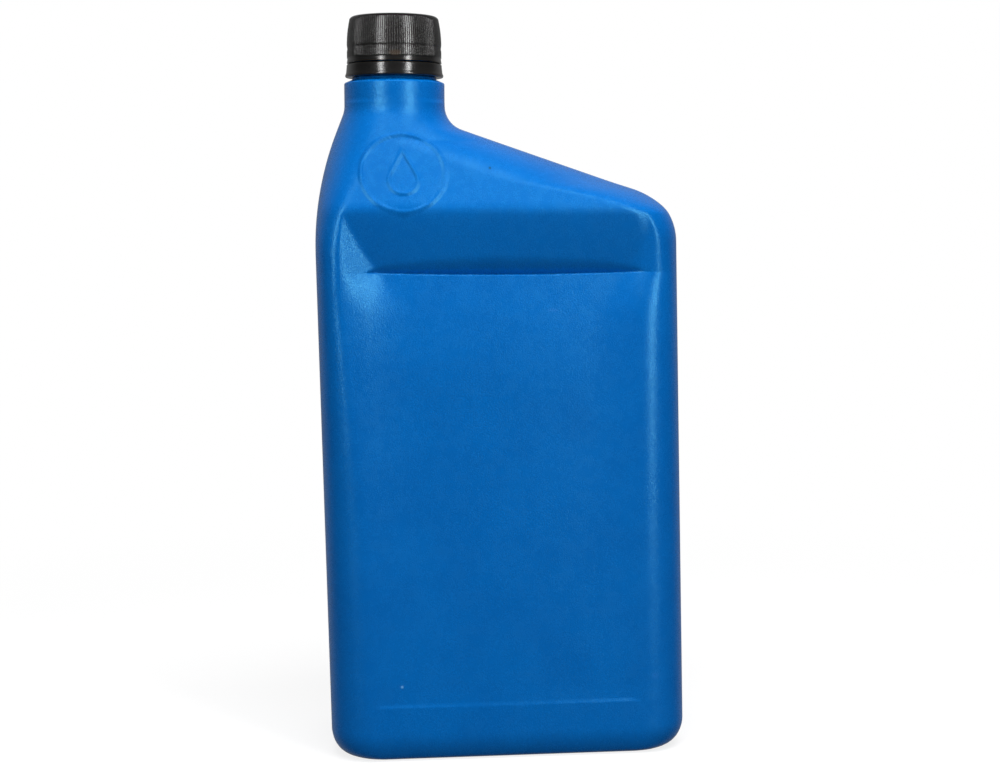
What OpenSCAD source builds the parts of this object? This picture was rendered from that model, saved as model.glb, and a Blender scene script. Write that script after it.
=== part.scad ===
// One-litre oil bottle: a blown shell with an offset neck, a pinched grip and recessed label
// panels, closed by a 28 mm screw cap with a break-away band.
// Millimetres. The foot stands on z = 0, the front faces -Y and the neck is on the -X side.

/* [Body] */
// Width of the body between its side walls at the foot
body_w = 114.1; // [90:0.2:140]
// Depth of the body, front to back
body_d = 58; // [46:0.5:72]
// Height from the foot to the bottom of the neck cylinder
body_h = 207; // [170:0.5:250]
// Lean of both side walls towards the neck side, in degrees
side_lean = 1.25; // [0:0.05:2]
// Radius of the four upright corners
corner_r = 14; // [10:0.5:18]
// Height of the rounded edge round the foot
foot_h = 9; // [5:0.5:10]
// Reach of that edge at the sides
foot_side = 6.5; // [4:0.5:9]
// Reach of that edge at the front and back
foot_face = 4.5; // [3:0.5:7]
// Height of the push-up in the middle of the base
push_up = 2.4; // [0.5:0.1:4]
// Width of the flat rim that the bottle stands on
stand_w = 3.2; // [2:0.2:6]
// Thickness of the blown wall
wall = 0.9; // [0.6:0.05:1.2]

/* [Shoulder] */
// Distance from the left side wall at the foot to the neck's axis
neck_inset = 22.2; // [20:0.1:26]
// Slope of the long shoulder line, degrees below level
shoulder_slope = 18.9; // [14:0.1:24]
// How far the long shoulder line meets the neck below the neck cylinder
shoulder_drop = 6.55; // [4:0.05:9]
// Radius where the long shoulder turns down into the side
shoulder_r = 18; // [10:0.5:20]
// Radius of the hollow between the neck and the long shoulder
shoulder_hollow_r = 8; // [4:0.5:10]
// Lean of the short shoulder below the neck, degrees from upright
short_lean = 21.5; // [16:0.5:26]
// Radius where the short shoulder turns down into the side
short_r = 100; // [60:5:120]
// How far the short shoulder meets the neck below the neck cylinder
short_drop = 2.5; // [2:0.1:5]
// Radius of the hollow between the neck and the short shoulder
short_hollow_r = 9; // [4:0.5:11]
// How far the shoulder face meets the neck below the neck cylinder
face_drop = 3; // [2.5:0.1:5]
// Radius of the hollow between the neck and the shoulder face
face_hollow_r = 10; // [4:0.5:11]
// Length of the roof that rounds the long shoulder over, seen from above
roof_len = 38; // [30:1:46]
// Height of the crease where the shoulder face starts, below the neck cylinder
crease_drop = 33.4; // [28:0.2:40]
// Radius of that crease
crease_r = 10; // [4:0.5:12]

/* [Grip and panel] */
// Height of the scooped grip, from its lower ledge to the crease
grip_h = 19.8; // [14:0.2:26]
// Depth of the grip at its ledge
grip_depth = 6.4; // [3:0.2:8]
// How much the grip hollows towards its ledge, where 1 is a straight slope
grip_curve = 1.2; // [1:0.05:1.6]
// Width of the lens-shaped ledge under the grip
ledge_w = 2.2; // [0.5:0.1:3]
// Length of that ledge
ledge_len = 86; // [60:1:96]
// Height of the pocket that the grip hollows into above the ledge
pocket_h = 6; // [3:0.5:9]
// How much lower the middle of the ledge lies than its ends
ledge_bow = 0.8; // [0:0.1:1.5]
// Height of the ledge's rounded edge
ledge_edge = 0.4; // [0.2:0.05:0.8]
// Drop of the pinch below the ledge before the panel is flat
pinch_fade = 42; // [25:1:60]
// Depth of the recessed label panel
panel_depth = 1.5; // [0.5:0.1:2.5]
// Height of the ridge below the label panel
ridge_z = 15.6; // [13:0.1:24]
// Height over which the ridge steps in to the panel
ridge_rise = 2.4; // [1:0.1:4]
// Border beside the panel on the left, at its foot
left_border = 9.5; // [5:0.5:12]
// Border on the left at the ledge and beside the grip
left_border_ledge = 4.5; // [4:0.5:10]
// Border beside the panel on the right, at its foot
right_border = 11; // [5:0.5:14]
// Border on the right at the ledge
right_border_ledge = 6; // [4:0.5:10]
// Border on the right at the crease
right_border_top = 9.5; // [4:0.5:12]
// Width over which the panel's sides slope in
border_slope = 9; // [5:0.5:14]
// Width of the slanting end of the grip on the left, at the ledge
flare_left = 16; // [8:0.5:20]
// Width of the slanting end of the grip on the right, at the ledge
flare_right = 8; // [5:0.5:14]
// Width of both slanting ends at the crease
flare_top = 3; // [2:0.5:8]

/* [Neck finish] */
// Outside radius of the neck cylinder
neck_r = 15.95; // [15.2:0.05:17]
// Height of the neck cylinder
neck_h = 6.3; // [4:0.1:9]
// Radius of the finish at the root of its thread
finish_r = 12.4; // [12.2:0.1:12.7]
// Radius of the bore
bore_r = 10.9; // [10:0.1:11.2]
// Height of the cone on top of the neck cylinder
cone_h = 1.1; // [1:0.1:2.2]
// Radius at the top of that cone
cone_r = 13; // [12.9:0.1:13.5]
// Radius of the bead that holds the band
bead_r = 13.6; // [13.5:0.05:13.7]
// Height of that bead
bead_h = 1.2; // [0.8:0.1:1.6]

/* [Closure] */
// Height of the cap without its band
cap_h = 14.6; // [13:0.1:17]
// Outside radius of the cap over its knurls
cap_r = 15; // [14.8:0.05:16]
// How much the upper part of the knurled wall draws in towards the top
cap_taper = 0.8; // [0:0.05:0.9]
// Inside radius of the cap
cap_bore_r = 13.9; // [13.85:0.05:14]
// Thickness of the cap's top
cap_top = 1.4; // [1:0.1:1.8]
// Height of the smooth flared rim below the knurls
rim_h = 1.8; // [1.5:0.1:3]
// Number of knurls round the cap
knurls = 120; // [60:6:126]
// Depth of the grooves between the knurls
knurl_depth = 0.25; // [0.15:0.01:0.3]
// Width of the slit between the cap and its band
slit = 0.4; // [0.3:0.05:0.6]
// Running gap of the cap and its band to what they turn on
run_gap = 0.3; // [0.2:0.05:0.4]
// Height of the band
band_h = 4; // [3:0.1:4.2]
// Outside radius of the band at its lower edge
band_r = 15.6; // [15.2:0.05:16]
// Number of bridges along the slit
bridges = 12; // [6:1:16]
// Thickness of the sealing disc
liner_t = 0.8; // [0.5:0.1:1.2]
// Radius of the sealing disc
liner_r = 13.1; // [12.6:0.1:13.3]

/* [Hidden] */
blue = [0, 0.4, 0.72];
black = [0.1, 0.1, 0.1];
foam = [0.9, 0.9, 0.87];
$fn = 96;
// Overlap of two solids that are joined
bite = 0.6;
// How far a cutting shape runs past what it cuts
spare = 1;
// Step between the blown shell and the neck cylinder at the mould's parting
mould_step = 0.1;
// Shortest flat left between the front and back halves of a section
min_flat = 0.4;
// Distance over which the base rises from its standing rim
push_up_run = 14;
// Small chamfer of the moulded edges
lip = 0.3;
// Drop of the grip's ledge, which is nearly flat
ledge_drop = 0.02;
// Distance below the ledge over which the borders widen and the slanting ends narrow
border_run = 75;
flare_run = 30;
// Distance above and below the ledge over which its bow fades
bow_run = 14;
// Least share of the pocket's height, at the ends of the ledge
pocket_least = 0.05;
// How far below the crease and above the turn the roof over the long shoulder fades in
roof_below = 2;
roof_above = 4;
// Share of the body's height over which the inner skin's levels change sides
lift_from = 0.3;
lift_to = 0.5;
// Steps of the push-up and of the foot's edge
push_up_step = 0.25;
foot_step = 18;
// Radius of the cap's top edge
cap_edge_r = 1.3;
// Step from the knurls in to the waist above the cap's rim, and the waist's height
rim_step = 0.15;
waist_h = 0.4;
// How far the knurls' outline runs past the cap's wall, which rounds their crests
crest_spare = 0.15;
// Share of the cap's height below which its knurled wall is straight
straight_share = 0.4;
// Step from the knurls out to the band's upper edge
band_step = 0.1;
// Gap between the neck's cone and the band
band_clear = 0.6;
// Height and radius of the band's inner bead, its chamfer and the slope above it
band_bead_h = 0.9;
band_bead_r = bead_r - 0.5;
band_bead_lip = 0.2;
band_bead_slope = 0.4;
// Width and thickness of a bridge, its root in the band, its place in the wall and its gap to the cap
bridge_w = 0.8;
bridge_t = 0.6;
bridge_root = 0.3;
bridge_inset = 0.15;
bridge_gap = 0.08;

// Every outline below is made of three lines, x or y = [value at z = 0, change per unit of z],
// with an arc between each two. An arc is [centre, centre's z, start z, end z, radius, side].
function at(line, z) = line[0] + line[1] * z;
function arc_at(arc, z) = arc[0] + arc[5] * sqrt(max(0, arc[4] * arc[4] - (z - arc[1]) * (z - arc[1])));
function fillet(low, high, r, side) =
    let (low_k = sqrt(1 + low[1] * low[1]),
         high_k = sqrt(1 + high[1] * high[1]),
         low_c = low[0] - side * r * low_k,
         high_c = high[0] - side * r * high_k,
         cz = (high_c - low_c) / (low[1] - high[1]))
    [low_c + low[1] * cz, cz, cz - side * r * low[1] / low_k, cz - side * r * high[1] / high_k, r, side];
function outline(z, low, turn, middle, hollow, high) =
    z < turn[2] ? at(low, z)
    : z < turn[3] ? arc_at(turn, z)
    : z < hollow[2] ? at(middle, z)
    : z < hollow[3] ? arc_at(hollow, z)
    : high[0];
function ramp(from, to, v) =
    let (t = min(1, max(0, (v - from) / (to - from))))
    t * t * (3 - 2 * t);
function mix(a, b, t) = a + (b - a) * t;
function zone(from, to, n) = [for (i = [0:n - 1]) mix(from, to, i / n)];

// Levels of the form
crease_z = body_h - crease_drop;
ledge_z = crease_z - grip_h;
cone_z = body_h + neck_h;
band_z = cone_z + cone_h + band_clear;
bead_z = band_z + band_bead_h + 2 * run_gap;
cap_z = band_z + band_h + slit;
ceiling_z = cap_z + cap_h - cap_top;
mouth_z = ceiling_z - liner_t;

// Outline seen from the front, with the middle of the whole width on x = 0
lean = tan(side_lean);
shell_neck_r = neck_r - mould_step;
side_shift = lean * crease_z / 2;
left_line = [side_shift - body_w / 2, -lean];
right_line = [side_shift + body_w / 2, -lean];
neck_x = left_line[0] + neck_inset;
left_neck = [neck_x - shell_neck_r, 0];
right_neck = [neck_x + shell_neck_r, 0];
long_dx = -1 / tan(shoulder_slope);
long_line = [right_neck[0] - (body_h - shoulder_drop) * long_dx, long_dx];
short_dx = tan(short_lean);
short_line = [left_neck[0] - (body_h - short_drop) * short_dx, short_dx];
right_turn = fillet(right_line, long_line, shoulder_r, 1);
right_hollow = fillet(long_line, right_neck, shoulder_hollow_r, -1);
left_turn = fillet(left_line, short_line, short_r, -1);
left_hollow = fillet(short_line, left_neck, short_hollow_r, 1);
function left_x(z) = outline(z, left_line, left_turn, short_line, left_hollow, left_neck);
function right_x(z) = outline(z, right_line, right_turn, long_line, right_hollow, right_neck);

// Outline seen from the side: the upright face, the shoulder face and the neck
face_line = [body_d / 2, 0];
face_dy = (shell_neck_r - body_d / 2) / (crease_drop - face_drop);
slope_line = [body_d / 2 - crease_z * face_dy, face_dy];
neck_line = [shell_neck_r, 0];
crease = fillet(face_line, slope_line, crease_r, 1);
face_hollow = fillet(slope_line, neck_line, face_hollow_r, -1);
function half_depth(z) = outline(z, face_line, crease, slope_line, face_hollow, neck_line);

// Depth of the grip and the label panel below the upright face
function border(x, z) =
    let (up = min(1, max(0, (z - ledge_z) / grip_h)),
         down = min(1, max(0, (ledge_z - z) / border_run)),
         near = min(1, max(0, (ledge_z - z) / flare_run)),
         left = left_x(z) + mix(left_border_ledge, left_border, down),
         right = right_x(z) - mix(mix(right_border_ledge, right_border_top, up), right_border, down),
         left_w = mix(mix(flare_left, flare_top, up), border_slope, near),
         right_w = mix(mix(flare_right, flare_top, up), border_slope, near))
    ramp(left, left + left_w, x) * ramp(-right, right_w - right, -x);
function lens(x) = sqrt(max(0, 1 - x * x * 4 / (ledge_len * ledge_len)));
function grip(x, z) =
    let (t = (crease_z - z) / grip_h,
         below = grip_depth - ledge_w,
         q = min(1, (z - ledge_z) / (pocket_h * max(pocket_least, lens(x)))))
    pow(t, grip_curve) * below * border(x, z) + ledge_w * lens(x) * (1 - q) * (1 - q);
function panel(x, z) =
    let (t = min(1, (ledge_z - z) / pinch_fade),
         pinch = grip_depth - ledge_w - panel_depth)
    border(x, z) * ramp(ridge_z, ridge_z + ridge_rise, z) * (panel_depth + pinch * (1 - t) * (1 - t));
// Bow of the ledge: the levels near it sag in the middle
function bow(x, z) =
    ledge_bow * lens(x) * lens(x) * ramp(0, 1, 1 - min(1, abs(z - ledge_z) / bow_run));
function recess(x, z) = z >= crease_z ? 0 : z > ledge_z ? grip(x, z) : panel(x, z);

// One level of the shell, moved in by inset. The corners are quarter ellipses: round on the
// body, drawn out into a roof below the long shoulder, and a full circle at the neck.
function corner(z, angle, inset, right) =
    let (half = half_depth(z) - inset,
         width = right_x(z) - left_x(z) - 2 * inset,
         top = ramp(left_turn[2], left_hollow[2], z),
         left_a = mix(corner_r, shell_neck_r, top) - inset,
         left_b = min(mix(corner_r - inset, half, top), half - min_flat),
         end = ramp(crease_z - roof_below, right_turn[3] + roof_above, z),
         right_a = min(mix(corner_r, roof_len, end) - inset, width - left_a),
         right_b = min(mix(corner_r - inset, half, end), half - min_flat))
    right
    ? [right_x(z) - inset - right_a * (1 - cos(angle)), right_b * sin(angle) + half - right_b]
    : [left_x(z) + inset + left_a * (1 - cos(angle)), left_b * sin(angle) + half - left_b];
function half_ring(z, inset, corner_n, face_n) =
    let (a = corner(z, 90, inset, false),
         b = corner(z, 90, inset, true))
    concat([for (i = [0:corner_n]) corner(z, 90 * i / corner_n, inset, false)],
           [for (i = [1:face_n - 1])
               let (t = i / face_n)
               [mix(a[0], b[0], mix(t, (1 - cos(180 * t)) / 2, 0.5)), a[1]]],
           [for (i = [corner_n:-1:0]) corner(z, 90 * i / corner_n, inset, true)]);
function ring(z, level, inset, corner_n, face_n) =
    let (half = [for (p = half_ring(z, inset, corner_n, face_n)) [p[0], p[1] - recess(p[0], z)]],
         n = len(half))
    concat([for (p = half) [p[0], -p[1], level - bow(p[0], z)]],
           [for (i = [n - 1:-1:0]) [half[i][0], half[i][1], level - bow(half[i][0], z)]]);
// A level of the foot: its own points drawn towards the middle of the base
function foot_ring(level, side_inset, face_inset, corner_n, face_n) =
    let (full = ring(foot_h, level, 0, corner_n, face_n),
         middle = at(left_line, foot_h) + body_w / 2)
    [for (p = full)
        [middle + (p[0] - middle) * (1 - 2 * side_inset / body_w),
         p[1] * (1 - 2 * face_inset / body_d), level]];

// The levels from the foot to the neck, closer where the form turns quickly
function levels(n) = concat(
    zone(foot_h, ridge_z - 1, round(2 * n)),
    zone(ridge_z - 1, ridge_z + ridge_rise + 0.5, round(5 * n)),
    zone(ridge_z + ridge_rise + 0.5, ledge_z - pinch_fade, round(5 * n)),
    zone(ledge_z - pinch_fade, ledge_z, round(6 * n)),
    [ledge_z - ledge_drop],
    zone(ledge_z + ledge_edge, ledge_z + pocket_h, round(5 * n)),
    zone(ledge_z + pocket_h, crease_z - 1, round(5 * n)),
    zone(crease_z - 1, body_h, round(16 * n)),
    [body_h]);

// How far the inner skin's levels lie above the outer ones at the foot and below them at the top
function lift(z) = wall * (1 - 2 * ramp(body_h * lift_from, body_h * lift_to, z));

// Steps of the skin: the push-up from the middle outwards, the foot's edge, then the levels
function skin(inset, corner_n, face_n, n) =
    concat(
        [for (t = [1:-push_up_step:0])
            foot_ring(inset + push_up * ramp(0, 1, t), foot_side + stand_w + push_up_run * t,
                      foot_face + stand_w + push_up_run * t, corner_n, face_n)],
        [for (a = [0:foot_step:90 - foot_step])
            foot_ring(inset + (foot_h - inset) * (1 - cos(a)), inset + (foot_side - inset) * (1 - sin(a)),
                      inset + (foot_face - inset) * (1 - sin(a)), corner_n, face_n)],
        [for (z = levels(n)) ring(z, z + lift(z) * inset / wall, inset, corner_n, face_n)]);

// A closed solid through rings that all have the same number of points
module loft(rings) {
    n = len(rings[0]);
    last = len(rings) - 1;
    sides = [for (j = [0:last - 1], i = [0:n - 1], half = [0, 1])
        let (a = j * n + i, b = j * n + (i + 1) % n)
        half == 0 ? [a, a + n, b] : [b, a + n, b + n]];
    polyhedron([for (r = rings, p = r) p],
               concat([[for (i = [0:n - 1]) i]], sides, [[for (i = [n - 1:-1:0]) last * n + i]]));
}

// A solid of revolution about the neck's axis
module turned(profile) {
    translate([neck_x, 0, 0]) rotate_extrude() polygon(profile);
}

module neck_outside() {
    turned([
        [0, body_h - bite], [neck_r, body_h - bite], [neck_r, cone_z], [cone_r, cone_z + cone_h],
        [finish_r, cone_z + cone_h], [finish_r, bead_z], [bead_r, bead_z],
        [bead_r, bead_z + bead_h / 2], [finish_r, bead_z + bead_h], [finish_r, mouth_z - lip],
        [finish_r - lip, mouth_z], [0, mouth_z]]);
}

module neck_inside() {
    inner_r = shell_neck_r - wall + mould_step;
    turned([
        [0, body_h - 2 * wall], [inner_r, body_h - 2 * wall], [inner_r, cone_z - wall],
        [bore_r, cone_z + cone_h], [bore_r, mouth_z + spare], [0, mouth_z + spare]]);
}

module bottle() {
    color(blue) difference() {
        union() {
            loft(skin(0, 6, 22, 1));
            neck_outside();
        }
        loft(skin(wall, 4, 16, 0.7));
        neck_inside();
    }
}

// Outline of the cap's knurled wall, with one groove between each two knurls
function knurl_outline() =
    [for (i = [0:knurls - 1], step = [0, 0.5, 0.75])
        let (angle = 360 * (i + step) / knurls,
             r = step == 0.75 ? cap_r - knurl_depth : cap_r + crest_spare)
        [r * cos(angle), r * sin(angle)]];

module cap_envelope() {
    top_r = cap_r - cap_taper;
    draw_from = cap_h * straight_share;
    draw_h = cap_h - cap_edge_r - draw_from;
    turned(concat(
        [[0, cap_z], [cap_r + band_step, cap_z], [cap_r - rim_step, cap_z + rim_h - waist_h],
         [cap_r, cap_z + rim_h]],
        [for (t = [0:0.2:1]) [cap_r - cap_taper * t * t, cap_z + draw_from + draw_h * t]],
        [for (a = [18:18:90])
            [top_r - cap_edge_r * (1 - cos(a)), cap_z + cap_h - cap_edge_r * (1 - sin(a))]],
        [[0, cap_z + cap_h]]));
}

module cap() {
    color(black) difference() {
        intersection() {
            cap_envelope();
            translate([neck_x, 0, cap_z]) union() {
                cylinder(h = rim_h - waist_h / 2, r = cap_r + spare);
                linear_extrude(cap_h + spare) polygon(knurl_outline());
            }
        }
        turned([
            [0, cap_z - spare], [cap_bore_r + lip, cap_z - spare], [cap_bore_r + lip, cap_z],
            [cap_bore_r, cap_z + lip], [cap_bore_r, ceiling_z], [0, ceiling_z]]);
    }
}

module cap_liner() {
    color(foam) translate([neck_x, 0, mouth_z]) cylinder(h = liner_t, r = liner_r);
}

module tamper_band() {
    top_r = cap_r + band_step;
    color(black) union() {
        turned([
            [band_bead_r + band_bead_lip, band_z], [band_r - lip, band_z], [band_r, band_z + lip],
            [top_r, band_z + band_h], [cap_bore_r, band_z + band_h],
            [cap_bore_r, band_z + band_bead_h + band_bead_slope],
            [band_bead_r, band_z + band_bead_h], [band_bead_r, band_z + band_bead_lip]]);
        for (i = [0:bridges - 1])
            translate([neck_x, 0, 0]) rotate([0, 0, 360 * (i + 0.5) / bridges])
                translate([cap_bore_r + bridge_inset, -bridge_w / 2, band_z + band_h - bridge_root])
                    cube([bridge_t, bridge_w, slit + bridge_root - bridge_gap]);
    }
}

bottle();
tamper_band();
cap();
cap_liner();
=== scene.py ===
"""Looks of a blue one-litre oil bottle with a black screw cap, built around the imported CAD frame."""

from __future__ import annotations

import logging
import math
from dataclasses import dataclass, field
from enum import Enum

import bpy
import numpy as np
from mathutils import Matrix, Vector


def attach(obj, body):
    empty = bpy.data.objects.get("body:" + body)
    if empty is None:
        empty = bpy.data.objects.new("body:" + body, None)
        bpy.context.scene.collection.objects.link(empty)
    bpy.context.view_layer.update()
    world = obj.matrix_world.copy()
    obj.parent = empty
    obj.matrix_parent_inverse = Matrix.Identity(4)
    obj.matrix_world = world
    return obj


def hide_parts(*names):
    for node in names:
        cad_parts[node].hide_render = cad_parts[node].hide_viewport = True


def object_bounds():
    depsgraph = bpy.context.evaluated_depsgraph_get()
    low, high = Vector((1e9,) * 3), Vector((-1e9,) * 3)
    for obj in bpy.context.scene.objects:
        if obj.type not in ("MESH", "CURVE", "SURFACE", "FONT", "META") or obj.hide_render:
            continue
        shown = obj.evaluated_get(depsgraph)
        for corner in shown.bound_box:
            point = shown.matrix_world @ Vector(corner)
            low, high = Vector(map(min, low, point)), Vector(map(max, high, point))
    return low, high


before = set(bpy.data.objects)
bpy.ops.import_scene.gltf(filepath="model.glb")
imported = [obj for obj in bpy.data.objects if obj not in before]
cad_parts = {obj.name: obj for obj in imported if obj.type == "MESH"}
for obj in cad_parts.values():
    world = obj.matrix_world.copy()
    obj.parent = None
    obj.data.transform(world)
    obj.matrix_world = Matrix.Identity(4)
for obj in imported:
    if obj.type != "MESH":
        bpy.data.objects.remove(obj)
cad_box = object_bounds()

log = logging.getLogger("oil_bottle")

MM = 0.001
WHITE = (1.0, 1.0, 1.0, 1.0)
GRAIN_DEPTH = 0.00025
SCUFF_ROUGHNESS = 0.15
Array = np.ndarray


class Body(Enum):
    """The moving bodies of the frame."""

    BOTTLE = "bottle"
    LINER = "liner"
    CAP = "cap"


class Slot(Enum):
    """The record's material slots."""

    BOTTLE = "bottle"
    CLOSURE = "closure"
    LINER = "liner"


def ramp(start: float, end: float, value: Array | float) -> Array:
    """Smooth step from 0 at start to 1 at end."""
    t = np.clip((np.asarray(value, float) - start) / (end - start), 0.0, 1.0)
    return t * t * (3 - 2 * t)


def bevel(start: float, end: float, value: Array | float, ease: float) -> Array:
    """Straight rise from 0 at start to 1 at end with rounded ends.

    Args:
        start: where the rise starts.
        end: where it ends.
        value: the places to read.
        ease: share of the rise that is rounded at each end, up to 0.5 for no straight part.

    Returns:
        The height at each place.
    """
    t = (np.asarray(value, float) - start) / (end - start)
    low = np.clip(t + ease, 0, 2 * ease) ** 2 / (4 * ease) + np.maximum(0, t - ease)
    over = np.clip(t - 1 + ease, 0, 2 * ease) ** 2 / (4 * ease) + np.maximum(0, t - 1 - ease)
    return low - over


def mix(a: Array | float, b: Array | float, t: Array | float) -> Array:
    """Straight mix of a and b."""
    return a + (b - a) * np.asarray(t, float)


def hump(middle: float, width: float, value: float) -> float:
    """Bell curve that is 1 at its middle."""
    return math.exp(-(((value - middle) / width) ** 2))


def steps(*runs: tuple[float, float, float]) -> Array:
    """Values along several runs.

    Args:
        runs: each run's start, end and largest step; a run's end is the next one's start.

    Returns:
        The values in order, with no repeats and with the last run's end.
    """
    values = []
    for start, end, step in runs:
        count = max(1, math.ceil(abs(end - start) / step))
        values.append(np.linspace(start, end, count, endpoint=False))
    return np.concatenate(values + [np.array([runs[-1][1]])])


@dataclass(frozen=True)
class Line:
    """A straight stretch of an outline: value = start + slope * z."""

    start: float
    slope: float

    def at(self, z: Array) -> Array:
        """The outline's value at height z."""
        return self.start + self.slope * z


@dataclass(frozen=True)
class Arc:
    """A round stretch of an outline between two lines."""

    centre: float
    centre_z: float
    low_z: float
    high_z: float
    radius: float
    side: int

    @classmethod
    def between(cls, low: Line, high: Line, radius: float, side: int) -> Arc:
        """The arc that touches two lines.

        Args:
            low: the line below the arc.
            high: the line above the arc.
            radius: the arc's radius.
            side: 1 where the arc bulges towards larger values, -1 towards smaller ones.

        Returns:
            The arc with its two touching heights.
        """
        low_k = math.hypot(1, low.slope)
        high_k = math.hypot(1, high.slope)
        low_start = low.start - side * radius * low_k
        high_start = high.start - side * radius * high_k
        z = (high_start - low_start) / (low.slope - high.slope)
        return cls(
            centre=low_start + low.slope * z,
            centre_z=z,
            low_z=z - side * radius * low.slope / low_k,
            high_z=z - side * radius * high.slope / high_k,
            radius=radius,
            side=side,
        )

    def at(self, z: Array) -> Array:
        """The outline's value at height z."""
        reach = np.sqrt(np.maximum(0, self.radius**2 - (z - self.centre_z) ** 2))
        return self.centre + self.side * reach


@dataclass(frozen=True)
class Outline:
    """Three lines with an arc between each two, from the foot up to the neck."""

    low: Line
    turn: Arc
    middle: Line
    hollow: Arc
    high: Line

    @classmethod
    def through(cls, low: Line, middle: Line, high: Line, turn: float, hollow: float, side: int) -> Outline:
        """An outline from its three lines.

        Args:
            low: the lowest line.
            middle: the middle line.
            high: the line at the neck.
            turn: radius between low and middle.
            hollow: radius between middle and high.
            side: the side that the lower arc bulges to; the upper one bulges the other way.

        Returns:
            The outline.
        """
        lower, upper = Arc.between(low, middle, turn, side), Arc.between(middle, high, hollow, -side)
        return cls(low, lower, middle, upper, high)

    def at(self, z: Array) -> Array:
        """The outline's value at a height.

        Args:
            z: one height or several.

        Returns:
            The value at each height.
        """
        z = np.asarray(z, float)
        return np.select(
            [z < self.turn.low_z, z < self.turn.high_z, z < self.hollow.low_z, z < self.hollow.high_z],
            [self.low.at(z), self.turn.at(z), self.middle.at(z), self.hollow.at(z)],
            self.high.at(z),
        )


def link_object(name: str, data: object) -> bpy.types.Object:
    """Adds an object to the scene.

    Args:
        name: its name.
        data: its mesh, lamp or camera.

    Returns:
        The new object.
    """
    made = bpy.data.objects.new(name, data)
    bpy.context.scene.collection.objects.link(made)
    return made


def skin_object(name: str, rings: list[Array], closed_ends: bool, body: Body) -> bpy.types.Object:
    """A smooth mesh piece through rings of points, which rides on a body.

    Args:
        name: the piece's name.
        rings: points in millimetres, in the row frame.
        closed_ends: True caps the first and last ring; False joins the last ring to the first.
        body: the body it rides on.

    Returns:
        The new object.
    """
    mesh = bpy.data.meshes.new(name)
    points = np.concatenate(rings) * MM
    mesh.from_pydata(points.tolist(), [], skin_faces(len(rings), len(rings[0]), closed_ends))
    mesh.validate()
    mesh.polygons.foreach_set("use_smooth", [True] * len(mesh.polygons))
    mesh.update()
    piece = link_object(name, mesh)
    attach(piece, body.value)
    triangles = sum(len(p.vertices) - 2 for p in mesh.polygons)
    log.info("%s: %d triangles, on %s", name, triangles, body.value)
    return piece


def skin_faces(rings: int, around: int, closed_ends: bool) -> list:
    """Faces through rings of points that are listed one ring after another.

    Args:
        rings: the number of rings.
        around: the points on each ring, anticlockwise seen from above on the outside.
        closed_ends: True caps the first and last ring; False joins the last ring to the first.

    Returns:
        A list of index lists.
    """
    i = np.arange(around)
    after = (i + 1) % around
    faces = []
    last = rings - 1 if closed_ends else rings
    for j in range(last):
        low, high = j * around, ((j + 1) % rings) * around
        faces += np.stack([low + i, low + after, high + after, high + i], 1).tolist()
    if closed_ends:
        faces.append(list(range(around - 1, -1, -1)))
        faces.append([(rings - 1) * around + k for k in range(around)])
    return faces


@dataclass(frozen=True)
class Thread:
    """A right-handed screw thread of trapezoid section."""

    pitch: float
    height: float
    root_w: float
    crest_w: float
    low_z: float
    high_z: float
    fade: float = 40.0

    def rise(self, angle: Array, z: Array, phase: float = 0.0) -> Array:
        """How far the thread stands off its root.

        Args:
            angle: angles about the axis in radians.
            z: heights of the same shape.
            phase: shift of the thread, in turns.

        Returns:
            The thread's height at each point.
        """
        along = (z - self.low_z) / self.pitch - angle / math.tau - phase
        off = np.abs(along - np.round(along)) * self.pitch
        flank = 1 - ramp(self.crest_w / 2, self.root_w / 2, off)
        turn = (np.round(along) + angle / math.tau + phase) * self.pitch + self.low_z
        run_in = self.pitch * self.fade / 360
        ends = ramp(self.low_z, self.low_z + run_in, turn)
        ends = ends * (1 - ramp(self.high_z - run_in, self.high_z, turn))
        return self.height * flank * ends


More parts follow.
